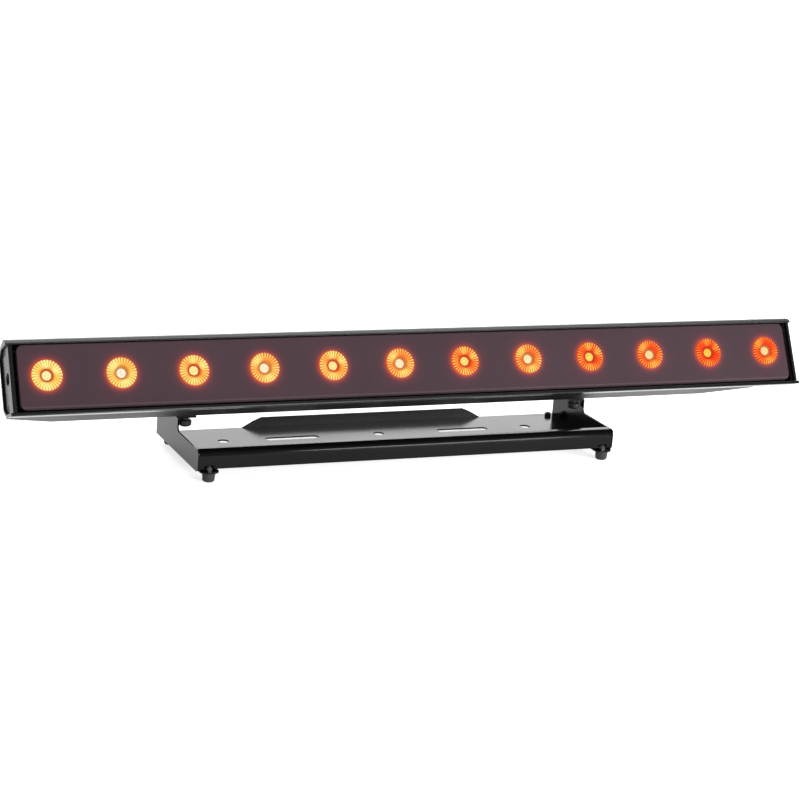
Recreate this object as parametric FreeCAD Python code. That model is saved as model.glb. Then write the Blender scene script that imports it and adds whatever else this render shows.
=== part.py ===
"""Stage lighting batten: a long bar of twelve lenses that tilts on a low floor bracket.

Millimetres, +Z up, X along the bar, the lenses face -Y. The origin is on the floor, under the
middle of the object. The bar's own pieces are drawn upright, with the middle of the lens row at
their origin and Y running back into the bar, and are then tilted and lifted into place.
"""
import FreeCAD, Part
import math
import os

# --- the bar -------------------------------------------------------------------------------
pixel_count = 12
bar_length = 1000.0
pixel_pitch = bar_length / pixel_count
tilt = 28.0              # how far the bar leans back from upright, degrees
face_top = 43.0          # lens row up to the top of the face
face_bottom = -44.0      # lens row down to the bottom of the face
frame_depth = 36.0       # front extrusion, front to back
bar_depth = 120.0        # whole body, front to back
lip = 1.0                # the extrusion's lips stand past the face at each end
lip_edge = 36.4          # lens row up to the lower edge of the top lip
cap_thickness = 6.0
cap_front_thickness = 3.5       # the end cap is thinner where it borders the window
cap_recess = 1.5
wall = 3.0
housing_wall = 2.5
housing_half = 486.0     # rear housing, middle to its side wall
bevel_half = 428.0       # rear housing, middle to the end of its rear face
bevel_depth = 88.0       # where the bevelled ends begin
housing_top = (28.0, 24.0)       # height of the roof at its front and at its back
housing_floor = (-31.5, -28.3)   # height of the floor at its front and at its back

# --- front window and optics ---------------------------------------------------------------
panel_half = 489.5
panel_top = 34.8
panel_bottom = -37.2
panel_corner = 7.5
panel_front = 2.2
panel_thickness = 3.0
panel_chamfer = 0.9
panel_slope = 3.4        # height of the sloping lower edge of the window
gasket_thickness = 2.2
carrier_thickness = 2.0
lens_radius = 15.5
lens_front = 1.6
dome_radius = 5.2
dome_height = 1.4
board_front = 25.6
board_thickness = 1.6
spreader_thickness = frame_depth - wall - board_front - board_thickness

# --- floor bracket ---------------------------------------------------------------------------
sheet = 2.0
bracket_half = 271.0
bracket_depth = 159.0
foot_height = 11.0
rim_height = 26.0        # side strips and front rail, above the underside of the plate
arm_depth = 79.0         # front-to-back length of the raised arms
flange_width = 23.0
flange_height = 41.3     # underside of the arm's flange, above the underside of the plate
rail_radius = 8.5
rail_depth = 14.5
rail_gap = 3.3           # front skirt of the rail, above the underside of the plate
foot_x = 257.0
front_foot = 1.0         # front feet in from the nose of the rail
rear_foot = 11.0         # rear feet in from the rear edge
ear_reach = 8.0          # ears stand this far in front of the rail
ear_half = 11.5
ear_corner = 8.0
hole_x = 203.0
hole_radius = 6.5
slot_x = 114.5
slot_length = 69.0
slot_width = 11.0
hole_row = 51.5          # hole row in from the rear edge

# --- where the bar sits above the bracket ------------------------------------------------------
lens_z = 142.3
reach_back = 191.0       # lens row back to the rear edge of the bracket
pin_back = 125.0         # lens row back to the tilt pin
pin_drop = 72.0          # lens row down to the tilt pin
hinge_x = 259.5
pin_radius = 4.0
running_clearance = 0.05
ear_thickness = 4.0
arm_thickness = 12.0
washer_thickness = 0.9
screw_back = 5.0         # thumb screws stand this far in front of the tilt pin

# --- connectors ---------------------------------------------------------------------------------
connector_screw_places = ((-10.2, 11.6), (10.2, -11.6))
power_socket_radius = 9.0
data_socket_radius = 8.4
socket_depth = 11.0

# --- control panel -----------------------------------------------------------------------------
button_x = (18.0, 32.0, 46.0, 60.0)
button_radius = 4.5
button_z = -2.0
button_travel = 1.0

tilt_rad = math.radians(tilt)
lens_y = (-face_bottom * math.sin(tilt_rad) - reach_back) / 2.0
rear_y = lens_y + reach_back
front_y = rear_y - bracket_depth
plate_top = foot_height + sheet
rim_top = foot_height + rim_height
flange_under = foot_height + flange_height
flange_top = flange_under + sheet
arm_front_y = rear_y - arm_depth
pin_y = lens_y + pin_back
pin_z = lens_z - pin_drop
local_pin_y = pin_back * math.cos(tilt_rad) + pin_drop * math.sin(tilt_rad)
local_pin_z = pin_back * math.sin(tilt_rad) - pin_drop * math.cos(tilt_rad)
pixel_xs = [(i - (pixel_count - 1) / 2.0) * pixel_pitch for i in range(pixel_count)]

V = FreeCAD.Vector
X_AXIS = V(1, 0, 0)
Y_AXIS = V(0, 1, 0)
Z_AXIS = V(0, 0, 1)

nodes = {}


# --- small helpers -------------------------------------------------------------------------------
def box(x0, x1, y0, y1, z0, z1):
    return Part.makeBox(x1 - x0, y1 - y0, z1 - z0, V(x0, y0, z0))


def cylinder(radius, base, direction, length):
    return Part.makeCylinder(radius, length, V(*base), direction)


def prism_x(points, x0, x1):
    """A (y, z) outline drawn out along X."""
    corners = [V(x0, y, z) for y, z in points]
    face = Part.Face(Part.makePolygon(corners + corners[:1]))
    return face.extrude(V(x1 - x0, 0, 0))


def prism_y(points, y0, y1):
    """An (x, z) outline drawn out along Y."""
    corners = [V(x, y0, z) for x, z in points]
    face = Part.Face(Part.makePolygon(corners + corners[:1]))
    return face.extrude(V(0, y1 - y0, 0))


def prism_z(points, z0, z1):
    """An (x, y) outline drawn out along Z."""
    corners = [V(x, y, z0) for x, y in points]
    face = Part.Face(Part.makePolygon(corners + corners[:1]))
    return face.extrude(V(0, 0, z1 - z0))


def turned(points, base, direction):
    """A (radius, height) outline turned about an axis that starts at base."""
    corners = [V(r, 0, h) for r, h in points]
    face = Part.Face(Part.makePolygon(corners + corners[:1]))
    shape = face.revolve(V(0, 0, 0), Z_AXIS, 360)
    shape.Placement = FreeCAD.Placement(V(*base), FreeCAD.Rotation(Z_AXIS, direction))
    return shape


def hexagon(across_flats, base, direction, height):
    corner = across_flats / math.sqrt(3.0)
    points = [V(corner * math.cos(math.radians(a)), corner * math.sin(math.radians(a)), 0)
              for a in range(0, 360, 60)]
    shape = Part.Face(Part.makePolygon(points + points[:1])).extrude(V(0, 0, height))
    shape.Placement = FreeCAD.Placement(V(*base), FreeCAD.Rotation(Z_AXIS, direction))
    return shape


def edges_along(shape, axis, test=None):
    """Straight edges that run along one axis and whose middle passes the test."""
    found = []
    for edge in shape.Edges:
        if not isinstance(edge.Curve, Part.Line):
            continue
        run = edge.Vertexes[-1].Point - edge.Vertexes[0].Point
        if run.Length < 1e-6 or abs(abs(run.dot(axis)) / run.Length - 1) > 1e-6:
            continue
        if test is None or test(edge.CenterOfMass):
            found.append(edge)
    return found


def rounded_window(x_half, z0, z1, y0, y1, corner):
    plate = box(-x_half, x_half, y0, y1, z0, z1)
    return plate.makeFillet(corner, edges_along(plate, Y_AXIS))


def place_bar(shape):
    """Tilt an upright piece of the bar and lift it to where the bar sits."""
    shape = shape.copy()
    shape.rotate(V(0, 0, 0), X_AXIS, -tilt)
    shape.translate(V(0, lens_y, lens_z))
    return shape


def add(name, *solids):
    nodes[name] = solids[0] if len(solids) == 1 else Part.makeCompound(list(solids))


def add_to_bar(name, *solids):
    add(name, *[place_bar(solid) for solid in solids])


def mirrored(shape):
    return shape.mirror(V(0, 0, 0), X_AXIS)


# --- floor bracket ---------------------------------------------------------------------------------
def floor_plate():
    y_front = front_y + rail_depth - sheet
    plate = box(-bracket_half + sheet, bracket_half - sheet, y_front, rear_y, foot_height, plate_top)
    for x in (-foot_x, foot_x):
        ear = box(x - ear_half, x + ear_half, front_y - ear_reach, y_front + 1, foot_height, plate_top)
        corners = edges_along(ear, Z_AXIS, lambda p: p.y < front_y)
        plate = plate.fuse(ear.makeFillet(ear_corner, corners))
    flap = prism_y([(-166, foot_height), (-147, 21.5), (-137, 25.5),
                    (137, 25.5), (147, 21.5), (166, foot_height)], rear_y - sheet, rear_y)
    plate = plate.fuse(flap).removeSplitter()
    hole_y = rear_y - hole_row
    cuts = [cylinder(hole_radius, (x, hole_y, foot_height - 1), Z_AXIS, 4) for x in (-hole_x, 0, hole_x)]
    straight = slot_length / 2.0 - slot_width / 2.0
    for middle in (-slot_x, slot_x):
        cuts.append(box(middle - straight, middle + straight, hole_y - slot_width / 2,
                        hole_y + slot_width / 2, foot_height - 1, plate_top + 1))
        for end in (-straight, straight):
            cuts.append(cylinder(slot_width / 2, (middle + end, hole_y, foot_height - 1), Z_AXIS, 4))
    cuts += [cylinder(2.5, (x, y, foot_height - 1), Z_AXIS, 4) for x, y in foot_places()]
    return plate.cut(cuts)


def front_rail():
    """A folded J: front skirt, large rounded nose, narrow top and inner wall."""
    def skin(inset):
        r = rail_radius - inset
        y0 = front_y + inset
        y1 = front_y + rail_depth - inset
        top = rim_top - inset
        low = foot_height + rail_gap
        corner = math.sin(math.radians(45))
        nose = Part.Arc(V(0, y0, top - r), V(0, y0 + r - r * corner, top - r + r * corner),
                        V(0, y0 + r, top))
        lines = [Part.LineSegment(V(0, y0, low), V(0, y0, top - r)), nose,
                 Part.LineSegment(V(0, y0 + r, top), V(0, y1, top)),
                 Part.LineSegment(V(0, y1, top), V(0, y1, low)),
                 Part.LineSegment(V(0, y1, low), V(0, y0, low))]
        return Part.Face(Part.Wire([line.toShape() for line in lines]))
    half = bracket_half - sheet
    outer = skin(0).extrude(V(2 * half, 0, 0))
    inner = skin(sheet).extrude(V(2 * half, 0, 0))
    rail = outer.cut(inner)
    rail.translate(V(-half, 0, 0))
    foot = box(-half, half, front_y + rail_depth - sheet, front_y + rail_depth, plate_top,
               foot_height + rail_gap)
    notches = [box(x - 5.5, x + 5.5, front_y - 1, front_y + sheet + 1, plate_top, plate_top + 5.5)
               for x in (-foot_x, foot_x)]
    return rail.fuse(foot).removeSplitter().cut(notches)


def side_bracket():
    """Right-hand side: low strip, raised arm and the flange folded in along the arm's top."""
    x1 = bracket_half
    x0 = x1 - sheet
    web = prism_x([(front_y, foot_height), (rear_y, foot_height), (rear_y, flange_top),
                   (arm_front_y, flange_top), (arm_front_y, rim_top), (front_y, rim_top)], x0, x1)
    front_corners = edges_along(web, X_AXIS, lambda p: p.y < front_y + 1)
    web = web.makeFillet(6.0, front_corners)
    inside = edges_along(web, X_AXIS, lambda p: abs(p.y - arm_front_y) < 1 and p.z < flange_under)
    web = web.makeFillet(5.0, inside)
    flange = box(x1 - flange_width, x1, arm_front_y, rear_y, flange_under, flange_top)
    bracket = web.fuse(flange).removeSplitter()
    fold = edges_along(bracket, Y_AXIS, lambda p: p.x > x1 - 0.1 and p.z > flange_top - 0.1)
    bracket = bracket.makeFillet(sheet, fold)
    holes = [cylinder(3.05, (hinge_x, y, flange_under - 1), Z_AXIS, 4) for y in hinge_bolt_ys()]
    return bracket.cut(holes)


def hinge_bolt_ys():
    return (pin_y - screw_back, pin_y + 44.0)


def foot_places():
    return [(side * foot_x, y) for y in (front_y + front_foot, rear_y - rear_foot) for side in (-1, 1)]


def rubber_foot(x, y):
    outline = [(0, 0), (5.6, 0), (7.0, 1.4), (8.0, foot_height), (0, foot_height)]
    foot = turned(outline, (x, y, 0), Z_AXIS)
    recess = cylinder(4.6, (x, y, -1), Z_AXIS, 4.5)
    return foot.cut([recess, cylinder(2.5, (x, y, 0), Z_AXIS, foot_height + 1)])


def foot_screw(x, y):
    head = cylinder(4.4, (x, y, 1.5), Z_AXIS, 2.0)
    return head.fuse(cylinder(2.5, (x, y, 3.5), Z_AXIS, 14.8)).removeSplitter()


def foot_nut(x, y):
    nut = hexagon(8.0, (x, y, plate_top), Z_AXIS, 4.0)
    return nut.cut(cylinder(2.5, (x, y, plate_top - 1), Z_AXIS, 6))


def hinge_base():
    """Right-hand lower half of the tilt hinge: a bolted pad with two ears for the pin."""
    half = arm_thickness / 2 + washer_thickness + 0.1 + ear_thickness
    pad_top = flange_top + 6.0
    pad = box(hinge_x - half, hinge_x + half, pin_y - 12, pin_y + 56, flange_top, pad_top)
    parts = []
    for x0 in (hinge_x - half, hinge_x + half - ear_thickness):
        parts.append(cylinder(9.0, (x0, pin_y, pin_z), X_AXIS, ear_thickness))
        parts.append(prism_x([(pin_y - 12, flange_top), (pin_y + 14, flange_top),
                              (pin_y + 9, pin_z), (pin_y - 9, pin_z)], x0, x0 + ear_thickness))
    shape = pad.fuse(parts).removeSplitter()
    shape = shape.cut(cylinder(pin_radius, (hinge_x - 20, pin_y, pin_z), X_AXIS, 40))
    front, rear = hinge_bolt_ys()
    return shape.cut([cylinder(3.05, (hinge_x, front, flange_top - 1), Z_AXIS, 6.5),
                      cylinder(3.05, (hinge_x, rear, flange_top - 1), Z_AXIS, 9)])


def hinge_pin():
    half = arm_thickness / 2 + washer_thickness + 0.1 + ear_thickness
    pin = cylinder(pin_radius, (hinge_x - half - 1.5, pin_y, pin_z), X_AXIS, 2 * half + 3)
    heads = [cylinder(6.0, (hinge_x - half - 1.5, pin_y, pin_z), X_AXIS, 1.5),
             cylinder(6.0, (hinge_x + half, pin_y, pin_z), X_AXIS, 1.5)]
    return pin.fuse(heads).removeSplitter()


def friction_washers():
    washers = []
    for x0 in (hinge_x - arm_thickness / 2 - 0.1 - washer_thickness, hinge_x + arm_thickness / 2 + 0.1):
        disc = cylinder(8.0, (x0, pin_y, pin_z), X_AXIS, washer_thickness)
        washers.append(disc.cut(cylinder(pin_radius, (x0 - 1, pin_y, pin_z), X_AXIS, 4)))
    return washers


def hinge_bolt():
    """Hex bolt at the back of the hinge pad, with its nut under the flange."""
    y = hinge_bolt_ys()[1]
    pad_top = flange_top + 6.0
    bolt = hexagon(10.0, (hinge_x, y, pad_top), Z_AXIS, 4.0)
    bolt = bolt.fuse(cylinder(3.0, (hinge_x, y, flange_under - 7), Z_AXIS, pad_top - flange_under + 7))
    nut = hexagon(10.0, (hinge_x, y, flange_under - 5), Z_AXIS, 5.0)
    nut = nut.cut(cylinder(3.0, (hinge_x, y, flange_under - 6), Z_AXIS, 7))
    return [bolt.removeSplitter(), nut]


def thumb_screw():
    """Ribbed knob under the flange, on a waisted neck."""
    y = hinge_bolt_ys()[0]
    top = flange_under - 0.1
    outline = [(0, top - 11.3), (5.5, top - 11.3), (7.6, top - 9.8), (8.0, top - 8.5), (8.0, top - 4.6),
               (7.0, top - 3.6), (4.2, top - 2.8), (4.2, top - 1.4), (6.0, top), (3.0, top),
               (3.0, top + 7.4), (0, top + 7.4)]
    screw = turned(outline, (hinge_x, y, 0), Z_AXIS)
    ribs = []
    for i in range(14):
        angle = 2 * math.pi * i / 14
        ribs.append(cylinder(0.7, (hinge_x + 8.2 * math.cos(angle), y + 8.2 * math.sin(angle), top - 12),
                             Z_AXIS, 9))
    return screw.cut(ribs)


# --- bar: extrusion, window, ends -------------------------------------------------------------------
def front_extrusion():
    """A channel, open to the front, that runs the whole length of the bar."""
    half = bar_length / 2 + lip
    outer = prism_x([(0, face_bottom), (25, -40.5), (frame_depth, housing_floor[0]),
                     (frame_depth, housing_top[0]), (24, 38.6), (9.5, face_top), (3.2, face_top - 2.6),
                     (0, lip_edge)], -half, half)
    back = frame_depth - wall
    inner = prism_x([(-1, -40.2), (24, -37.0), (back, -29.6), (back, 26.1), (23, 33.9), (-1, 35.4)],
                    -half - 1, half + 1)
    shape = outer.cut(inner)
    shape = shape.cut([cylinder(5.0, (x, back - 1, 18), Y_AXIS, 6) for x in loom_xs()])
    screws = [cylinder(2.1, (x, back - 1, z), Y_AXIS, 6) for x, z in housing_screw_places()]
    return shape.cut(screws)


def loom_xs():
    return (-70.0, 70.0)


def housing_screw_places():
    return [(x, z) for z in (-26.0, 22.6) for x in (-450, -270, -90, 90, 270, 450)]


def front_panel():
    """Tinted window with a hole for each lens and a polished chamfer round its edge."""
    back = panel_front + panel_thickness
    plate = rounded_window(panel_half, panel_bottom, panel_top, panel_front, back, panel_corner)
    front_edges = [edge for edge in plate.Edges
                   if all(abs(v.Point.y - panel_front) < 1e-6 for v in edge.Vertexes)]
    plate = plate.makeChamfer(panel_chamfer, front_edges)
    slope = prism_x([(panel_front - 0.1, panel_bottom + panel_slope), (panel_front + 2.2, panel_bottom),
                     (panel_front - 0.1, panel_bottom - 1)], -panel_half - 1, panel_half + 1)
    plate = plate.cut(slope)
    return plate.cut([cylinder(lens_radius + 0.5, (x, 0, 0), Y_AXIS, 10) for x in pixel_xs])


def panel_gasket():
    y0 = panel_front + panel_thickness
    y1 = y0 + gasket_thickness
    outer = rounded_window(panel_half, panel_bottom, panel_top, y0, y1, panel_corner)
    inner = rounded_window(panel_half - 4, panel_bottom + 4, panel_top - 4, y0 - 1, y1 + 1, 2.5)
    return outer.cut(inner)


def lens(x):
    """One optic: ribbed rim ring with a clear dome, a flange and the cone behind it."""
    flange_y = panel_front + panel_thickness + 0.2
    seat = carrier_y()
    outline = [(0, lens_front + 2.2), (dome_radius + 1.6, lens_front + 2.2), (dome_radius + 2.4, lens_front),
               (lens_radius, lens_front), (lens_radius, flange_y), (18.0, flange_y), (18.0, seat),
               (14.8, seat), (6.0, board_front - 2.2), (0, board_front - 2.2)]
    body = turned(outline, (x, 0, 0), Y_AXIS)
    sphere_radius = (dome_radius ** 2 + (dome_height + 2.2) ** 2) / (2 * (dome_height + 2.2))
    centre = lens_front - dome_height + sphere_radius
    ball = Part.makeSphere(sphere_radius, V(x, centre, 0))
    cap = ball.common(box(x - 9, x + 9, lens_front - 3, lens_front + 2.4, -9, 9))
    return body.fuse(cap).removeSplitter()


def carrier_y():
    return panel_front + panel_thickness + gasket_thickness


def lens_carrier():
    y0 = carrier_y()
    y1 = y0 + carrier_thickness
    plate = rounded_window(panel_half, panel_bottom + 0.6, panel_top - 0.6, y0, y1, panel_corner)
    posts = [cylinder(4.0, (x + pixel_pitch / 2, y1 - 0.5, z), Y_AXIS, board_front - y1 + 0.5)
             for x in pixel_xs[:-1] for z in (-20, 18)]
    plate = plate.fuse(posts).removeSplitter()
    return plate.cut([cylinder(15.2, (x, y0 - 1, 0), Y_AXIS, carrier_thickness + 2) for x in pixel_xs])


def led_board():
    board = box(-480, 480, board_front, board_front + board_thickness, -29, 26)
    return board.cut([cylinder(1.6, (x + pixel_pitch / 2, board_front - 1, z), Y_AXIS, 4)
                      for x in pixel_xs[:-1] for z in (-12, 10)])


def led_emitter(x):
    base = box(x - 4, x + 4, board_front - 1.2, board_front, -4, 4)
    return base.fuse(cylinder(3.0, (x, board_front - 1.9, 0), Y_AXIS, 0.7)).removeSplitter()


def heat_spreader():
    y0 = board_front + board_thickness
    plate = box(-484, 484, y0, y0 + spreader_thickness, -20, 24.5)
    return plate.cut([cylinder(5.0, (x, y0 - 1, 18), Y_AXIS, 9) for x in loom_xs()]
                     + [cylinder(4.0, (x, y0 - 1, 22.6), Y_AXIS, 9) for x, z in housing_screw_places()
                        if z > 0])


def end_cap():
    """Right-hand end cap, held inside the channel, with one deep and two plain screw seats."""
    x1 = bar_length / 2 - cap_recess
    x0 = x1 - cap_thickness
    outline = [(0.8, -39.8), (24, -36.9), (32.9, -29.5), (32.9, 26.0), (23, 33.8), (0.8, 35.2)]
    cap = prism_x(outline, x0, x1)
    cap = cap.cut(box(x0 - 1, x1 - cap_front_thickness, 0, 6.0, -60, 60))
    seats = []
    for i, (y, z) in enumerate(cap_screw_places()):
        deep = 3.5 if i == 0 else 1.8
        seats.append(cylinder(6.8 if i == 0 else 3.4, (x1 - deep, y, z), X_AXIS, deep + 1))
        seats.append(cylinder(1.6, (x0 - 1, y, z), X_AXIS, cap_thickness + 2))
    return cap.cut(seats)


def cap_screw_places():
    return [(13.2, -0.5), (14.5, 30.0), (18.5, -31.5)]


def cap_screws():
    """Right-hand set of end cap screws: a short dome head in each seat."""
    x1 = bar_length / 2 - cap_recess
    screws = []
    for i, (y, z) in enumerate(cap_screw_places()):
        seat = x1 - (3.5 if i == 0 else 1.8)
        screw = cylinder(2.9, (seat, y, z), X_AXIS, 1.5)
        screw = screw.fuse(cylinder(1.6, (seat - 12, y, z), X_AXIS, 12))
        slot = box(seat + 0.8, seat + 2, y - 0.4, y + 0.4, z - 2.2, z + 2.2)
        screws.append(screw.removeSplitter().cut(slot))
    return screws


# --- bar: rear housing and what it holds --------------------------------------------------------------
def housing_block(inset):
    """The rear housing as a full block, its walls moved inwards by inset."""
    y0 = frame_depth - (1.0 if inset else 0.0)
    y1 = bar_depth - inset
    run = bar_depth - frame_depth
    def level(ends, y):
        return ends[0] + (ends[1] - ends[0]) * (y - frame_depth) / run
    side = prism_x([(y0, level(housing_floor, y0) + inset), (y1, level(housing_floor, y1) + inset),
                    (y1, level(housing_top, y1) - inset), (y0, level(housing_top, y0) - inset)],
                   -500, 500)
    bevel_run = math.hypot(housing_half - bevel_half, bar_depth - bevel_depth)
    slope = (housing_half - bevel_half) / (bar_depth - bevel_depth)
    x_side = housing_half - inset
    # The bevel's plane, moved inwards by inset, meets the side wall and the rear wall here.
    shift = inset * bevel_run / (bar_depth - bevel_depth)
    x_rear = bevel_half - shift + slope * inset
    y_side = bar_depth - (x_side - (bevel_half - shift)) / slope
    plan = prism_z([(-x_side, y0), (x_side, y0), (x_side, y_side), (x_rear, y1),
                    (-x_rear, y1), (-x_side, y_side)], -60, 60)
    return side.common(plan)


def bevel_axis(side):
    """Outward direction of a bevelled end and the direction along its face."""
    run = math.hypot(housing_half - bevel_half, bar_depth - bevel_depth)
    along = V(side * (housing_half - bevel_half) / run, -(bar_depth - bevel_depth) / run, 0)
    out = V(side * (bar_depth - bevel_depth) / run, (housing_half - bevel_half) / run, 0)
    return out, along


def connector_place(side, order):
    """Centre of a connector on the outer face of a bevelled end; order is -1 or 1."""
    out, along = bevel_axis(side)
    middle = V(side * (housing_half + bevel_half) / 2, (bar_depth + bevel_depth) / 2, -2.0)
    return middle + along * (order * 15.5), out, along


def rear_housing():
    shell = housing_block(0).cut(housing_block(housing_wall))
    bosses = [cylinder(4.2, (x, frame_depth, z), Y_AXIS, 14) for x, z in housing_screw_places()]
    shell = shell.fuse([boss.common(housing_block(0)) for boss in bosses]).removeSplitter()
    cuts = [cylinder(1.9, (x, frame_depth - 1, z), Y_AXIS, 13) for x, z in housing_screw_places()]
    for side in (-1, 1):
        for order in (-1, 1):
            centre, out, along = connector_place(side, order)
            start = centre - out * 6
            cuts.append(cylinder(11.5, (start.x, start.y, start.z), out, 8))
            cuts += [to_bevel(cylinder(1.8, (x, z, -6), Z_AXIS, 8), side, order)
                     for x, z in connector_screw_places]
    cuts.append(box(-63, 67, bar_depth - 4, bar_depth + 1, -20, 16))
    cuts.append(cylinder(8.0, (-330, bar_depth - 4, -2), Y_AXIS, 6))
    cuts += [cylinder(2.5, (x, bar_depth - 4, z), Y_AXIS, 6) for x, z in arm_screw_places()]
    cuts.append(cylinder(3.0, (335, bar_depth - 4, -2), Y_AXIS, 6))
    return shell.cut(cuts)


def housing_screw(x, z):
    head = cylinder(3.5, (x, frame_depth - wall - 2.2, z), Y_AXIS, 2.2)
    return head.fuse(cylinder(1.9, (x, frame_depth - wall, z), Y_AXIS, 13.0)).removeSplitter()


def connector(side, order, socket_radius):
    """Panel connector: square flange, round shell outside and body inside the housing."""
    centre, out, along = connector_place(side, order)
    plate = box(-13.5, 13.5, -15.0, 15.0, 0, 2.0)
    plate = plate.makeFillet(3.0, edges_along(plate, Z_AXIS))
    shell = cylinder(11.4, (0, 0, 1), Z_AXIS, 6.5)
    body = cylinder(11.2, (0, 0, -18), Z_AXIS, 19)
    shape = plate.fuse([shell, body]).removeSplitter()
    shape = shape.cut(cylinder(socket_radius, (0, 0, 7.5 - socket_depth), Z_AXIS, socket_depth + 1))
    shape = shape.cut([cylinder(1.7, (x, z, -1), Z_AXIS, 5) for x, z in connector_screw_places])
    return to_bevel(shape, side, order)


def to_bevel(shape, side, order):
    """Turn a piece drawn along Z so that Z points out of the bevelled end."""
    centre, out, along = connector_place(side, order)
    turn = math.degrees(math.atan2(out.x, out.y))
    shape = shape.copy()
    shape.rotate(V(0, 0, 0), X_AXIS, -90)
    shape.rotate(V(0, 0, 0), Z_AXIS, -turn)
    shape.translate(centre)
    return shape


def connector_screws():
    screws = []
    for side in (-1, 1):
        for order in (-1, 1):
            for x, z in connector_screw_places:
                screw = cylinder(2.8, (x, z, 2.0), Z_AXIS, 1.4)
                screw = screw.fuse(cylinder(1.6, (x, z, -5), Z_AXIS, 7)).removeSplitter()
                screws.append(to_bevel(screw, side, order))
    return screws


def fuse_holder():
    cap = cylinder(7.0, (-330, bar_depth + 2, -2), Y_AXIS, 6)
    flange = cylinder(9.5, (-330, bar_depth, -2), Y_AXIS, 2)
    body = cylinder(6.8, (-330, bar_depth - 30, -2), Y_AXIS, 30)
    slot = box(-335, -325, bar_depth + 6.5, bar_depth + 9, -2.7, -1.3)
    return flange.fuse([cap, body]).removeSplitter().cut(slot)


def control_panel():
    plate = box(-70, 74, bar_depth, bar_depth + 2, -24, 20)
    plate = plate.makeFillet(4.0, edges_along(plate, Y_AXIS))
    cuts = [box(-52, 2, bar_depth - 1, bar_depth + 3, -13, 9)]
    cuts += [cylinder(button_radius + 0.3, (x, bar_depth - 1, button_z), Y_AXIS, 4) for x in button_x]
    cuts += [cylinder(1.7, (x, bar_depth - 1, z), Y_AXIS, 4) for x in (-66, 70) for z in (-20, 16)]
    return plate.cut(cuts)


def display_window():
    window = box(-52, 2, bar_depth + 0.4, bar_depth + 1.6, -13, 9)
    return window.fuse(box(-55, 5, bar_depth - 1.0, bar_depth, -16, 12)).fuse(
        box(-52, 2, bar_depth - 0.5, bar_depth + 0.5, -13, 9)).removeSplitter()


def display_board():
    """Display module and the switches under the buttons, on one board."""
    y = bar_depth - 12.0
    board = box(-60, 66, y, y + 1.6, -18, 14)
    module = box(-54, 4, y + 1.6, y + 9.5, -15, 11)
    switches = [box(x - 3, x + 3, y + 1.6, y + 4.0, button_z - 3, button_z + 3) for x in button_x]
    return board.fuse([module] + switches).removeSplitter()


def menu_button(x):
    cap = cylinder(button_radius, (x, bar_depth - 0.5, button_z), Y_AXIS, 4.3)
    flange = cylinder(button_radius + 1.2, (x, bar_depth - 1.7, button_z), Y_AXIS, 1.3)
    stem = cylinder(1.8, (x, bar_depth - 12.0 + 4.0 + button_travel + 0.1, button_z), Y_AXIS, 5.6)
    return cap.fuse([flange, stem]).removeSplitter()


def power_supply():
    case = box(-250, -70, 52, 98, -26, 20)
    case = case.makeChamfer(1.0, edges_along(case, X_AXIS))
    terminals = box(-262, -250, 58, 92, -20, 0)
    return case.fuse(terminals).removeSplitter()


def control_board():
    board = box(110, 300, 70, 71.6, -24, 18)
    chips = [box(x, x + 18, 71.6, 74.4, -8, 10) for x in (124, 176, 228)]
    blocks = [box(x, x + 12, 62, 70, -18, -6) for x in (120, 200, 270)]
    return board.fuse(chips + blocks).removeSplitter()


def tube(points, radius):
    """Round cable laid along straight runs with a ball at each turn."""
    shape = None
    for start, end in zip(points[:-1], points[1:]):
        run = V(*end) - V(*start)
        piece = cylinder(radius, start, run, run.Length)
        shape = piece if shape is None else shape.fuse(piece)
    for point in points[1:-1]:
        shape = shape.fuse(Part.makeSphere(radius, V(*point)))
    return shape.removeSplitter()


def wiring_loom():
    """Mains lead to the supply, data lead to the control board and two leads to the lamp board."""
    mains = tube([(-434.2, 95.0, -2), (-410, 72, -10), (-262, 72, -10)], 3.5)
    data = tube([(434.2, 95.0, -2), (400, 76, 4), (300, 71, 4)], 3.0)
    left, right = loom_xs()
    feed = tube([(left, 52, 8), (left, 46, 18), (left, board_front + board_thickness, 18)], 2.5)
    signal = tube([(112, 70, 8), (right + 6, 50, 18), (right, 40, 18),
                   (right, board_front + board_thickness, 18)], 2.0)
    link = tube([(-70, 75, 0), (110, 71, 0)], 2.5)
    return [mains, data, feed, signal, link]


def heatsink(x0):
    """Finned block on the rear face."""
    fins = [box(x0 + i * 10, x0 + i * 10 + 2.4, bar_depth + 2, bar_depth + 11, -24, 20) for i in range(14)]
    base = box(x0, x0 + 132.4, bar_depth, bar_depth + 2.5, -24, 20)
    return base.fuse(fins).removeSplitter()


def safety_eye():
    """Wire loop on a round base for a safety bond."""
    base = cylinder(9.0, (335, bar_depth, -2), Y_AXIS, 3)
    stem = cylinder(3.0, (335, bar_depth - 9, -2), Y_AXIS, 10)
    ring = Part.makeTorus(8.5, 2.5, V(335, bar_depth + 11.5, -2), X_AXIS)
    return base.fuse([stem, ring]).removeSplitter()


def arm_screw_places():
    return [(side * x, z) for side in (-1, 1) for x in (hinge_x - 13, hinge_x + 13) for z in (-18, 14)]


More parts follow.
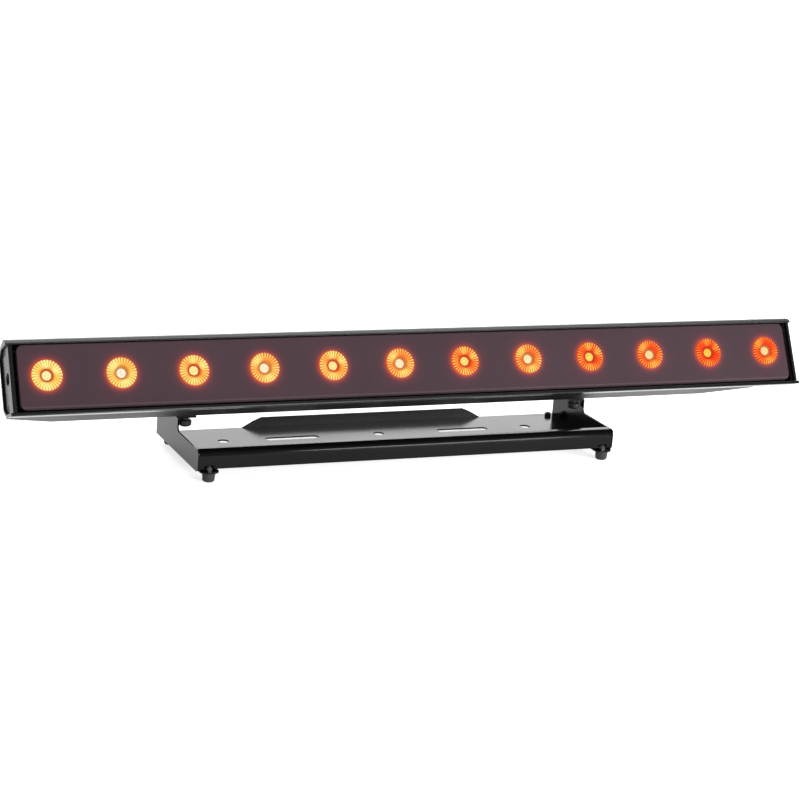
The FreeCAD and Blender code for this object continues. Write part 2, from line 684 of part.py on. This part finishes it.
def hinge_arm():
    """Right-hand upper half of the tilt hinge: a pad on the rear face and a leaf round the pin."""
    face = bar_depth
    pad = box(hinge_x - 18, hinge_x + 18, face, face + 4, -24, 20)
    pad = pad.makeFillet(3.0, edges_along(pad, Y_AXIS))
    x0 = hinge_x - arm_thickness / 2
    leaf = prism_x([(face + 3, local_pin_z - 8.2), (local_pin_y, local_pin_z - 9),
                    (local_pin_y, local_pin_z + 9), (face + 3, 16)], x0, x0 + arm_thickness)
    knuckle = cylinder(9.0, (x0, local_pin_y, local_pin_z), X_AXIS, arm_thickness)
    shape = pad.fuse([leaf, knuckle]).removeSplitter()
    holes = [cylinder(2.6, (x, face - 1, z), Y_AXIS, 6) for x, z in arm_screw_places() if x > 0]
    pin_hole = cylinder(pin_radius + running_clearance, (x0 - 1, local_pin_y, local_pin_z), X_AXIS,
                        arm_thickness + 2)
    return shape.cut(holes + [pin_hole])


def arm_screw(x, z):
    head = cylinder(4.2, (x, bar_depth + 4, z), Y_AXIS, 2.6)
    socket = hexagon(4.0, (x, bar_depth + 5.2, z), Y_AXIS, 3.0)
    shank = cylinder(2.5, (x, bar_depth - 8, z), Y_AXIS, 12)
    return head.fuse(shank).removeSplitter().cut(socket)


# --- put everything together ------------------------------------------------------------------------
def build_bracket():
    add("floor_plate", floor_plate())
    add("front_rail", front_rail())
    add("side_bracket_right", side_bracket())
    add("side_bracket_left", mirrored(side_bracket()))
    add("rubber_feet", *[rubber_foot(x, y) for x, y in foot_places()])
    add("foot_screws", *[foot_screw(x, y) for x, y in foot_places()])
    add("foot_nuts", *[foot_nut(x, y) for x, y in foot_places()])
    add("hinge_base_right", hinge_base())
    add("hinge_base_left", mirrored(hinge_base()))
    add("hinge_pins", hinge_pin(), mirrored(hinge_pin()))
    add("friction_washers", *(friction_washers() + [mirrored(w) for w in friction_washers()]))
    add("hinge_bolts", *(hinge_bolt() + [mirrored(piece) for piece in hinge_bolt()]))
    add("thumb_screw_right", thumb_screw())
    add("thumb_screw_left", mirrored(thumb_screw()))


def build_front():
    add_to_bar("front_extrusion", front_extrusion())
    add_to_bar("front_panel", front_panel())
    add_to_bar("panel_gasket", panel_gasket())
    for number, x in enumerate(pixel_xs, start=1):
        add_to_bar("lens_%02d" % number, lens(x))
    add_to_bar("lens_carrier", lens_carrier())
    add_to_bar("led_board", led_board())
    add_to_bar("led_emitters", *[led_emitter(x) for x in pixel_xs])
    add_to_bar("heat_spreader", heat_spreader())
    add_to_bar("end_cap_right", end_cap())
    add_to_bar("end_cap_left", mirrored(end_cap()))
    add_to_bar("end_cap_screws", *(cap_screws() + [mirrored(screw) for screw in cap_screws()]))


def build_rear():
    add_to_bar("rear_housing", rear_housing())
    add_to_bar("housing_screws", *[housing_screw(x, z) for x, z in housing_screw_places()])
    add_to_bar("power_inlet", connector(-1, 1, power_socket_radius))
    add_to_bar("power_outlet", connector(-1, -1, power_socket_radius))
    add_to_bar("data_inlet", connector(1, -1, data_socket_radius))
    add_to_bar("data_outlet", connector(1, 1, data_socket_radius))
    add_to_bar("connector_screws", *connector_screws())
    add_to_bar("fuse_holder", fuse_holder())
    add_to_bar("control_panel", control_panel())
    add_to_bar("display_window", display_window())
    add_to_bar("display_board", display_board())
    for number, x in enumerate(button_x, start=1):
        add_to_bar("menu_button_%d" % number, menu_button(x))
    add_to_bar("power_supply", power_supply())
    add_to_bar("control_board", control_board())
    add_to_bar("wiring_loom", *wiring_loom())
    add_to_bar("heatsink_left", heatsink(-220.0))
    add_to_bar("heatsink_right", heatsink(220.0 - 132.4))
    add_to_bar("safety_eye", safety_eye())
    add_to_bar("hinge_arm_right", hinge_arm())
    add_to_bar("hinge_arm_left", mirrored(hinge_arm()))
    add_to_bar("arm_screws", *[arm_screw(x, z) for x, z in arm_screw_places()])


def main():
    build_bracket()
    build_front()
    build_rear()
    os.makedirs("parts", exist_ok=True)
    for name, shape in nodes.items():
        shape.exportStep("parts/%s.step" % name)
    print("nodes", len(nodes))


main()
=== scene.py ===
"""Looks of the stage lighting batten: lit optics, smoked window, black metal, studio light."""

import math

import bmesh
import bpy
from mathutils import Matrix, Vector


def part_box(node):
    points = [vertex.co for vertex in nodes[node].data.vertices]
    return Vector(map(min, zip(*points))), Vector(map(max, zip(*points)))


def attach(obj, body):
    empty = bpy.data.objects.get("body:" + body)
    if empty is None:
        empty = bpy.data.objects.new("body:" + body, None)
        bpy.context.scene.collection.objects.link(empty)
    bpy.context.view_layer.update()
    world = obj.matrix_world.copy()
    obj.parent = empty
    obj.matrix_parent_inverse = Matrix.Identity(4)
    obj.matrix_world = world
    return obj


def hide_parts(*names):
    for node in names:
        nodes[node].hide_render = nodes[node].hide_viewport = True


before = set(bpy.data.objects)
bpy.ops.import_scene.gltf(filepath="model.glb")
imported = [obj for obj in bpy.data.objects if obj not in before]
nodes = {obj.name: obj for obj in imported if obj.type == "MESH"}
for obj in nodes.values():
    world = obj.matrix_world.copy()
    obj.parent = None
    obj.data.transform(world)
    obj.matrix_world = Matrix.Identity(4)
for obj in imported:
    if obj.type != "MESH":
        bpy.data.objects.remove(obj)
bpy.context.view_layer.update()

# --- the bar's own directions, from its tilt --------------------------------------------------
TILT = math.radians(28.0)
UP = Vector((0, math.sin(TILT), math.cos(TILT)))
BACK = Vector((0, math.cos(TILT), -math.sin(TILT)))
ALONG = Vector((1, 0, 0))
PIXELS = [name for name in sorted(nodes) if name.startswith("lens_") and name[-2:].isdigit()]


def middle(name):
    low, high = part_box(name)
    return (low + high) / 2


PITCH = middle(PIXELS[1]).x - middle(PIXELS[0]).x
ROW_START = middle(PIXELS[0]).x
BOARD_BACK = 0.0264             # middle of the LED board behind the face
BOARD_DROP = 0.0015             # middle of the LED board below the lens row
ROW = middle("led_board") - BACK * BOARD_BACK + UP * BOARD_DROP


def on_bar(x, back, up):
    """A point on the bar: along it, back from the lens row's plane and up its face."""
    return ROW + ALONG * x + BACK * back + UP * up


# --- node graph helpers ---------------------------------------------------------------------------
class Graph:
    """A small wrapper that adds nodes and links to one material."""

    def __init__(self, name):
        self.material = bpy.data.materials.new(name)
        self.material.use_nodes = True
        self.tree = self.material.node_tree
        self.shader = self.tree.nodes["Principled BSDF"]

    def set(self, **values):
        for key, value in values.items():
            socket = self.shader.inputs[key.replace("_", " ")]
            socket.default_value = (*value, 1.0) if isinstance(value, tuple) else value

    def node(self, kind, **settings):
        made = self.tree.nodes.new(kind)
        for key, value in settings.items():
            setattr(made, key, value)
        return made

    def link(self, source, target):
        self.tree.links.new(source, target)

    def place(self):
        return self.node("ShaderNodeTexCoord").outputs["Object"]

    def noise(self, scale, detail=4.0, rough=0.5, stretch=None):
        texture = self.node("ShaderNodeTexNoise")
        texture.inputs["Scale"].default_value = scale
        texture.inputs["Detail"].default_value = detail
        texture.inputs["Roughness"].default_value = rough
        source = self.place()
        if stretch:
            mapping = self.node("ShaderNodeMapping")
            mapping.inputs["Scale"].default_value = stretch
            self.link(source, mapping.inputs["Vector"])
            source = mapping.outputs["Vector"]
        self.link(source, texture.inputs["Vector"])
        return texture.outputs["Fac"]

    def ramp(self, source, stops):
        made = self.node("ShaderNodeValToRGB")
        elements = made.color_ramp.elements
        while len(elements) < len(stops):
            elements.new(0.5)
        for element, (place, colour) in zip(elements, stops):
            element.position = place
            element.color = (*colour, 1.0) if isinstance(colour, tuple) else (colour, colour, colour, 1)
        self.link(source, made.inputs["Fac"])
        return made.outputs["Color"]

    def math(self, operation, first, second=None, clamp=False):
        made = self.node("ShaderNodeMath", operation=operation, use_clamp=clamp)
        for socket, value in zip(made.inputs, (first, second)):
            if value is None:
                continue
            if isinstance(value, (int, float)):
                socket.default_value = value
            else:
                self.link(value, socket)
        return made.outputs[0]

    def bump(self, source, strength, distance, under=None):
        made = self.node("ShaderNodeBump")
        made.inputs["Strength"].default_value = strength
        made.inputs["Distance"].default_value = distance
        self.link(source, made.inputs["Height"])
        if under is not None:
            self.link(under, made.inputs["Normal"])
        return made.outputs["Normal"]


def finish_surface(graph, colour, rough, bump=None):
    """Colour and roughness are (source, low, high) with a grey or colour at each end."""
    source, low, high = colour
    graph.link(graph.ramp(source, [(0.3, low), (0.7, high)]), graph.shader.inputs["Base Color"])
    source, low, high = rough
    graph.link(graph.ramp(source, [(0.3, low), (0.7, high)]), graph.shader.inputs["Roughness"])
    if bump is not None:
        graph.link(bump, graph.shader.inputs["Normal"])
    return graph.material


# --- materials ----------------------------------------------------------------------------------------
def powder_coat():
    """Fine satin black powder coat with a slight orange-peel."""
    g = Graph("powder_coat")
    g.set(Metallic=0.0, IOR=1.25)
    fine = g.noise(1500.0, 3.0)
    peel = g.noise(240.0, 2.0)
    cloud = g.noise(9.0, 3.0)
    bump = g.bump(peel, 0.08, 0.0003, g.bump(fine, 0.15, 0.0002))
    return finish_surface(g, (cloud, (0.0018, 0.0018, 0.0020), (0.0030, 0.0030, 0.0032)),
                          (cloud, 0.15, 0.21), bump)


def anodised():
    """Matt black anodised aluminium with a faint drawn grain along the bar."""
    g = Graph("anodised_black")
    g.set(Metallic=0.0, IOR=1.36)
    grain = g.noise(900.0, 3.0, stretch=(0.02, 1.0, 1.0))
    fine = g.noise(2200.0, 2.0)
    cloud = g.noise(14.0, 4.0)
    bump = g.bump(grain, 0.10, 0.0002, g.bump(fine, 0.10, 0.0001))
    return finish_surface(g, (cloud, (0.003, 0.003, 0.0032), (0.005, 0.005, 0.0053)),
                          (cloud, 0.23, 0.30), bump)


def cast_black():
    """Slightly coarser painted shell of the rear housing."""
    g = Graph("housing_paint")
    g.set(Metallic=0.0, IOR=1.3)
    grit = g.noise(1100.0, 5.0, 0.65)
    cloud = g.noise(7.0, 4.0)
    bump = g.bump(grit, 0.25, 0.0003)
    return finish_surface(g, (cloud, (0.008, 0.008, 0.0085), (0.012, 0.012, 0.0125)),
                          (cloud, 0.40, 0.52), bump)


def rubber():
    g = Graph("foot_rubber")
    g.set(Metallic=0.0, IOR=1.5)
    grit = g.noise(900.0, 4.0)
    cloud = g.noise(60.0, 3.0)
    bump = g.bump(grit, 0.35, 0.0003)
    return finish_surface(g, (cloud, (0.012, 0.012, 0.012), (0.022, 0.021, 0.020)),
                          (cloud, 0.65, 0.82), bump)


def steel(name, low, high, rough=(0.25, 0.42)):
    g = Graph(name)
    g.set(Metallic=1.0)
    grain = g.noise(700.0, 4.0)
    bump = g.bump(grain, 0.12, 0.0002)
    return finish_surface(g, (g.noise(120.0), low, high), (grain, *rough), bump)


def moulded(name, low, high, rough=(0.42, 0.55)):
    g = Graph(name)
    g.set(Metallic=0.0, IOR=1.5)
    grit = g.noise(1600.0, 3.0)
    bump = g.bump(grit, 0.2, 0.0002)
    return finish_surface(g, (g.noise(40.0), low, high), (grit, *rough), bump)


def circuit():
    """White solder mask with faint tracks."""
    g = Graph("circuit_board")
    g.set(Metallic=0.0, IOR=1.5)
    tracks = g.node("ShaderNodeTexBrick")
    tracks.inputs["Scale"].default_value = 60.0
    tracks.inputs["Color1"].default_value = (0.62, 0.64, 0.6, 1)
    tracks.inputs["Color2"].default_value = (0.7, 0.72, 0.68, 1)
    tracks.inputs["Mortar"].default_value = (0.45, 0.5, 0.42, 1)
    g.link(g.place(), tracks.inputs["Vector"])
    g.link(tracks.outputs["Color"], g.shader.inputs["Base Color"])
    g.link(g.ramp(g.noise(300.0), [(0.3, 0.3), (0.7, 0.45)]), g.shader.inputs["Roughness"])
    return g.material


def bar_coordinates(g):
    """Distance along the bar and height above the lens row, for a material on a bar piece."""
    split = g.node("ShaderNodeSeparateXYZ")
    g.link(g.place(), split.inputs[0])
    x, y, z = split.outputs
    along_y = g.math("MULTIPLY", g.math("SUBTRACT", y, ROW.y), UP.y)
    along_z = g.math("MULTIPLY", g.math("SUBTRACT", z, ROW.z), UP.z)
    return x, g.math("ADD", along_y, along_z)


GLOW_EDGE = 0.0167       # the glow is at its full strength out to this radius from a lens axis
NEAR_FADE = 0.0020       # the bright rim of light falls off over this distance
WIDE_FADE = 0.0090       # and the faint patch round it over this one
NEAR_GLOW = 0.75
WIDE_GLOW = 0.045


def fading(g, radius, distance):
    """From 1 at the glow's edge, falling off exponentially."""
    past_edge = g.math("SUBTRACT", GLOW_EDGE, radius)
    return g.math("POWER", 2.718, g.math("DIVIDE", past_edge, distance), clamp=True)


def smoked_window():
    """Smoked satin acrylic, with the red light of the nearest lens soaked into it."""
    g = Graph("smoked_window")
    g.set(Metallic=0.0, IOR=1.32)
    x, up = bar_coordinates(g)
    phase = g.math("DIVIDE", g.math("SUBTRACT", x, ROW_START - PITCH / 2), PITCH)
    from_lens = g.math("MULTIPLY", g.math("SUBTRACT", g.math("FRACT", phase), 0.5), PITCH)
    square = g.math("ADD", g.math("MULTIPLY", from_lens, from_lens), g.math("MULTIPLY", up, up))
    radius = g.math("SQRT", square)
    near = fading(g, radius, NEAR_FADE)
    wide = fading(g, radius, WIDE_FADE)
    patch = g.ramp(g.noise(38.0, 2.0), [(0.35, 0.55), (0.65, 1.0)])
    wide_glow = g.math("MULTIPLY", g.math("MULTIPLY", wide, patch), WIDE_GLOW)
    glow = g.math("ADD", g.math("MULTIPLY", near, NEAR_GLOW), wide_glow)
    tint = g.ramp(near, [(0.0, (1.0, 0.05, 0.03)), (1.0, (1.0, 0.11, 0.0))])
    g.link(tint, g.shader.inputs["Emission Color"])
    g.link(glow, g.shader.inputs["Emission Strength"])
    haze = g.noise(900.0, 3.0)
    bump = g.bump(haze, 0.06, 0.0001)
    return finish_surface(g, (g.noise(6.0, 3.0), (0.042, 0.026, 0.032), (0.049, 0.030, 0.037)),
                          (haze, 0.13, 0.17), bump)


# --- lit optics --------------------------------------------------------------------------------------
# The lenses fade from warm yellow (0) at the left-hand end to red (1) at the right-hand end. Round
# each ring, the separate light sources behind it show as pale sectors, turned from lens to lens.
# Each sector has a middle angle and a width in degrees, and a strength.
FADE = (0.0, 0.07, 0.14, 0.20, 0.21, 0.31, 0.51, 0.45, 0.73, 0.74, 1.0, 0.90)
PALE_SECTORS = (((28, 17, 1.0), (92, 17, 0.95), (188, 24, 0.35), (262, 24, 0.75)),
                ((135, 24, 1.0), (287, 26, 1.0), (350, 16, 0.45), (222, 22, 0.25)))


def pale_colour(fade):
    """The crests of the ribs, where a light source is behind them."""
    return (1.0, 0.98 * 0.62 ** fade, 0.34 * 0.20 ** fade)


def deep_colour(fade):
    """The grooves, and the stretches between the light sources."""
    return (1.0, 0.48 * 0.055 ** fade, 0.035 * 0.12 ** fade)


def heart_colour(number):
    """Every other lens has a whiter heart."""
    fade = FADE[number]
    if number % 2:
        return (1.0, 0.96 * 0.80 ** fade, 0.74 * 0.40 ** fade)
    return (1.0, 0.92 * 0.72 ** fade, 0.44 * 0.20 ** fade)


def collar_colour(number):
    """Every other lens has a paler collar."""
    fade = FADE[number]
    if number % 2:
        return (1.0, 0.42 * 0.60 ** fade, 0.14 * 0.40 ** fade)
    return (1.0, 0.14 * 0.30 ** fade, 0.04 * 0.30 ** fade)


RIBS = 30
STEPS_PER_RIB = 8
HOLE = 0.0160            # radius of the openings in the window
RING = 0.0170            # outer radius of the ribbed ring; its teeth lie on the window's face
EYE = 0.0074             # inner radius of the ribbed ring
RING_RADII = (EYE, 0.0082, 0.0092, 0.0104, 0.0118, 0.0132, 0.0144, 0.0153, 0.0159, 0.0164, RING)
RING_FRONT = -0.0003     # crests of the ribs, just proud of the face
GROOVE = 0.0015          # depth of the grooves between the ribs, at the rim
DISH = 0.0020            # how far the ring sinks towards its eye
DOME = 0.0052            # radius of the bright heart
DOME_EDGE = 78           # degrees of the ball that the heart's outline takes
DOME_STEPS = 8
DOME_FRONT = 0.0002      # top of the heart behind the face
DOME_RISE = 0.0034
LENS_BACK = 0.0056       # heart and rim end this far behind the face
TURN_STEPS = 64          # sides of a turned piece
LENS_BASE = (0.05, 0.01, 0.005)     # unlit colour of the lens plastic


def sector_strength(number, turn):
    """How pale the ring of that lens is at an angle, from 0 to 1."""
    pale = 0.0
    for middle_angle, width, peak in PALE_SECTORS[number % 2]:
        off = (math.degrees(turn) - middle_angle + 180) % 360 - 180
        pale = max(pale, peak * math.exp(-(off / width) ** 2 / 2))
    return pale


def ring_light(name, fade):
    """Emission of a ribbed ring, from the pale and rib attributes of its mesh."""
    g = Graph(name)
    g.set(Metallic=0.0, Specular_IOR_Level=0.0, Roughness=0.3, Base_Color=LENS_BASE)
    pale = g.node("ShaderNodeAttribute", attribute_name="pale").outputs["Fac"]
    rib = g.node("ShaderNodeAttribute", attribute_name="rib").outputs["Fac"]
    flicker = g.math("MULTIPLY", g.math("SUBTRACT", g.noise(420.0, 2.0), 0.5), 0.5)
    mix = g.math("ADD", pale, flicker, clamp=True)
    colour = g.ramp(mix, [(0.0, deep_colour(fade)), (1.0, pale_colour(fade))])
    g.link(colour, g.shader.inputs["Emission Color"])
    g.link(rib, g.shader.inputs["Emission Strength"])
    return g.material


def plain_light(name, colour, strength):
    """Evenly lit plastic with a slight cell pattern."""
    g = Graph(name)
    g.set(Metallic=0.0, Specular_IOR_Level=0.0, Roughness=0.3, Base_Color=LENS_BASE, Emission_Color=colour)
    cells = g.ramp(g.noise(700.0, 1.0), [(0.3, 0.72 * strength), (0.7, 1.15 * strength)])
    g.link(cells, g.shader.inputs["Emission Strength"])
    return g.material


def rib_depth(spread, past_hole, crest):
    """How far a point of the ring lies behind the crests."""
    return GROOVE * spread * (1 - crest) + DISH * (1 - spread) ** 3 - RING_FRONT * past_hole


def rib_share(number, turn, spread, crest):
    """How much of the pale colour a point of the ring has, from 0 to 1."""
    base_share = 0.36 - 0.60 * FADE[number]
    ribbing = (crest - 0.5) * (1.0 + 0.5 * FADE[number]) * min(1.0, spread + 0.15)
    share = base_share + 0.8 * sector_strength(number, turn) + ribbing - 0.5 * (1 - spread) ** 4
    return max(0.0, min(1.0, share))


def rib_strength(spread, crest):
    """How bright a point of the ring is: dim by the eye, and dim in the grooves of the rim."""
    return min(1.0, 0.62 + 1.6 * spread) * (1 - 0.38 * spread * (1 - crest))


def round_axis(centre, radius, turn, back):
    """A point at a radius and an angle about a lens axis."""
    return centre + ALONG * (radius * math.cos(turn)) + UP * (radius * math.sin(turn)) + BACK * back


def ribbed_ring(centre, number):
    """Ring of radial ribs: raised crests, with grooves that reach the rim as teeth."""
    steps = RIBS * STEPS_PER_RIB
    mesh = bmesh.new()
    pale_layer = mesh.verts.layers.float.new("pale")
    rib_layer = mesh.verts.layers.float.new("rib")
    rows = []
    for radius in RING_RADII:
        spread = (radius - EYE) / (RING - EYE)
        past_hole = max(0.0, radius - HOLE) / (RING - HOLE)
        row = []
        for step in range(steps):
            turn = 2 * math.pi * step / steps
            crest = 0.5 + 0.5 * math.cos(RIBS * turn)
            back = RING_FRONT + rib_depth(spread, past_hole, crest)
            vertex = mesh.verts.new(round_axis(centre, radius, turn, back))
            vertex[pale_layer] = rib_share(number, turn, spread, crest)
            vertex[rib_layer] = rib_strength(spread, crest)
            row.append(vertex)
        rows.append(row)
    for inner, outer in zip(rows[:-1], rows[1:]):
        for step in range(steps):
            after = (step + 1) % steps
            mesh.faces.new((inner[step], inner[after], outer[after], outer[step]))
    return mesh


def turned_part(centre, outline):
    """A (radius, back) outline turned about the lens axis; radius 0 is a single point."""
    mesh = bmesh.new()
    rows = []
    for radius, back in outline:
        places = TURN_STEPS if radius else 1
        rows.append([mesh.verts.new(round_axis(centre, radius, 2 * math.pi * i / TURN_STEPS, back))
                     for i in range(places)])
    for inner, outer in zip(rows[:-1], rows[1:]):
        for i in range(TURN_STEPS):
            after = (i + 1) % TURN_STEPS
            if len(inner) == 1:
                mesh.faces.new((inner[0], outer[after], outer[i]))
            else:
                mesh.faces.new((inner[i], inner[after], outer[after], outer[i]))
    return mesh


def make_object(name, mesh, material, body):
    bmesh.ops.recalc_face_normals(mesh, faces=mesh.faces)
    data = bpy.data.meshes.new(name)
    mesh.to_mesh(data)
    mesh.free()
    for polygon in data.polygons:
        polygon.use_smooth = True
    made = bpy.data.objects.new(name, data)
    data.materials.append(material)
    bpy.context.scene.collection.objects.link(made)
    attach(made, body)
    return made


def dome_outline():
    """Part of a ball from the middle out, then straight back."""
    edge = math.radians(DOME_EDGE)
    points = [(0, DOME_FRONT)]
    for i in range(1, DOME_STEPS + 1):
        angle = edge * i / DOME_STEPS
        points.append((DOME * math.sin(angle) / math.sin(edge),
                       DOME_FRONT + DOME_RISE * (1 - math.cos(angle)) / (1 - math.cos(edge))))
    return points + [(DOME, LENS_BACK)]


def collar_outline():
    """Sloping ring between the heart and the eye of the ribs."""
    return [(DOME, 0.0034), (DOME + 0.0003, 0.0030), (EYE + 0.0001, 0.0018), (EYE + 0.0001, 0.0040)]


def rim_outline():
    """Inner wall of the opening, behind the teeth of the ribs."""
    wall = HOLE - 0.0002
    return [(wall - 0.0004, 0.0030), (wall, 0.0032), (wall, LENS_BACK)]


def lit_piece(name, outline, centre, colour, strength):
    make_object(name, turned_part(centre, outline), plain_light(name + "_light", colour, strength), "bar")


def build_optics():
    """One ribbed ring, heart, collar and rim for each CAD lens, which the ring replaces."""
    for number, name in enumerate(PIXELS):
        fade = FADE[number]
        centre = on_bar(middle(name).x, 0, 0)
        ring = make_object(name + "_ring", ribbed_ring(centre, number),
                           ring_light(name + "_ring_light", fade), "bar")
        lit_piece(name + "_dome", dome_outline(), centre, heart_colour(number), 1.0)
        lit_piece(name + "_collar", collar_outline(), centre, collar_colour(number), 0.60)
        red = (1.0, 0.12 - 0.08 * fade, 0.01)
        lit_piece(name + "_rim", rim_outline(), centre, red, 0.75)
        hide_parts(name)


# --- carried-over CAD nodes ------------------------------------------------------------------------
def coat(node_names, material):
    """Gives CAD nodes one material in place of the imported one."""
    for name in node_names:
        data = nodes[name].data
        data.materials.clear()
        data.materials.append(material)


def soften(node_names, width):
    """Small rounded edges on folded and machined metal."""
    for name in node_names:
        weld = nodes[name].modifiers.new("weld", "WELD")
        weld.merge_threshold = 0.00001
        bevel = nodes[name].modifiers.new("edges", "BEVEL")
        bevel.width = width
        bevel.segments = 2
        bevel.limit_method = "ANGLE"
        bevel.angle_limit = math.radians(35)
        bevel.harden_normals = True


def dress_cad():
    """A finish for every CAD node but the lenses, which the optics replace."""
    coat(["floor_plate", "front_rail", "side_bracket_right", "side_bracket_left", "hinge_base_right",
          "hinge_base_left", "hinge_arm_right", "hinge_arm_left"], powder_coat())
    coat(["front_extrusion", "end_cap_right", "end_cap_left", "heatsink_left", "heatsink_right",
          "control_panel"], anodised())
    coat(["rear_housing"], cast_black())
    coat(["front_panel"], smoked_window())
    coat(["rubber_feet", "panel_gasket"], rubber())
    coat(["housing_screws", "hinge_pins", "friction_washers"],
         steel("zinc_steel", (0.45, 0.45, 0.44), (0.62, 0.61, 0.58)))
    coat(["foot_screws", "foot_nuts", "hinge_bolts", "end_cap_screws", "connector_screws", "arm_screws"],
         steel("black_steel", (0.04, 0.04, 0.042), (0.08, 0.08, 0.083)))
    coat(["thumb_screw_right", "thumb_screw_left", "lens_carrier", "power_outlet", "power_inlet",
          "data_inlet", "data_outlet", "fuse_holder"], moulded("black_moulding", (0.006, 0.006, 0.006),
                                                               (0.010, 0.010, 0.010)))
    coat(["menu_button_1", "menu_button_2", "menu_button_3", "menu_button_4"],
         moulded("button_moulding", (0.07, 0.07, 0.075), (0.10, 0.10, 0.105)))
    coat(["wiring_loom"], moulded("wire_sleeve", (0.02, 0.02, 0.02), (0.03, 0.03, 0.03), (0.5, 0.6)))
    coat(["safety_eye"], steel("bright_steel", (0.55, 0.55, 0.55), (0.72, 0.72, 0.72)))
    coat(["heat_spreader", "power_supply"], steel("mill_aluminium", (0.6, 0.6, 0.61), (0.75, 0.75, 0.76)))
    coat(["led_board", "display_board", "control_board"], circuit())
    coat(["display_window"], moulded("display_glass", (0.006, 0.012, 0.018), (0.01, 0.018, 0.024),
                                     (0.06, 0.1)))
    coat(["led_emitters"], plain_light("emitter_light", (1.0, 0.4, 0.1), 2.0))


# --- studio ---------------------------------------------------------------------------------------------
FLOOR_REACH = 90         # metres each way, so that its edge stays out of sight


def floor_material():
    """Pale and slightly lit from within, so that the shadows stay soft and light."""
    g = Graph("studio_floor")
    g.set(Metallic=0.0, IOR=1.4, Emission_Color=(1.0, 1.0, 1.0), Emission_Strength=0.72)
    grain = g.noise(40.0)
    return finish_surface(g, (grain, (0.90, 0.90, 0.90), (0.93, 0.93, 0.93)), (grain, 0.7, 0.8))


def build_floor():
    mesh = bmesh.new()
    reach = FLOOR_REACH
    corners = [mesh.verts.new((x, y, 0))
               for x, y in ((-reach, -reach), (reach, -reach), (reach, reach), (-reach, reach))]
    mesh.faces.new(corners)
    data = bpy.data.meshes.new("studio_floor")
    mesh.to_mesh(data)
    mesh.free()
    data.materials.append(floor_material())
    made = bpy.data.objects.new("studio_floor", data)
    bpy.context.scene.collection.objects.link(made)


def soft_box(name, place, target, size, power):
    light = bpy.data.lights.new(name, "AREA")
    light.shape = "RECTANGLE"
    light.size, light.size_y = size
    light.energy = power
    made = bpy.data.objects.new(name, light)
    made.location = place
    made.rotation_euler = (Vector(target) - Vector(place)).to_track_quat("-Z", "Y").to_euler()
    bpy.context.scene.collection.objects.link(made)


def build_lights():
    """A dim white room, with wide lights behind and overhead and a strip in front."""
    world = bpy.data.worlds.new("studio")
    world.use_nodes = True
    background = world.node_tree.nodes["Background"]
    background.inputs["Color"].default_value = (1.0, 1.0, 1.0, 1)
    background.inputs["Strength"].default_value = 0.36
    bpy.context.scene.world = world
    soft_box("behind", place=(1.2, 3.0, 1.7), target=(0.1, 0, 0.1), size=(3.6, 2.6), power=76)
    soft_box("overhead", place=(0.55, 1.1, 2.4), target=(0, 0, 0.15), size=(3.2, 0.9), power=34)
    soft_box("front_strip", place=(1.25, -2.3, 0.64), target=(0.1, 0, 0.05), size=(2.6, 0.45), power=95)


def build_camera():
    """The viewing angle: from the left and a little above, with a slight roll."""
    turn = math.radians(24.63)
    drop = math.radians(15.43)
    roll = math.radians(4.54)
    distance = 2.4607
    aim = Vector((-0.0387, ROW.y, ROW.z - 0.0448))
    view = Vector((math.sin(turn) * math.cos(drop), math.cos(turn) * math.cos(drop), -math.sin(drop)))
    right = Vector((math.cos(turn), -math.sin(turn), 0))
    above = right.cross(view)
    right_rolled = right * math.cos(roll) + above * math.sin(roll)
    above_rolled = above * math.cos(roll) - right * math.sin(roll)
    data = bpy.data.cameras.new("view")
    data.lens = 95.14
    data.sensor_width = 36.0
    data.clip_end = 400
    made = bpy.data.objects.new("view", data)
    turn_matrix = Matrix((right_rolled, above_rolled, -view)).transposed()
    made.matrix_world = Matrix.Translation(aim - view * distance) @ turn_matrix.to_4x4()
    bpy.context.scene.collection.objects.link(made)
    bpy.context.scene.camera = made


def main():
    dress_cad()
    build_optics()
    soften(["floor_plate", "front_rail", "side_bracket_right", "side_bracket_left", "front_extrusion",
            "rear_housing", "end_cap_right", "end_cap_left", "control_panel"], 0.0005)
    build_floor()
    build_lights()
    build_camera()
    bpy.context.scene.view_settings.view_transform = "Standard"


main()
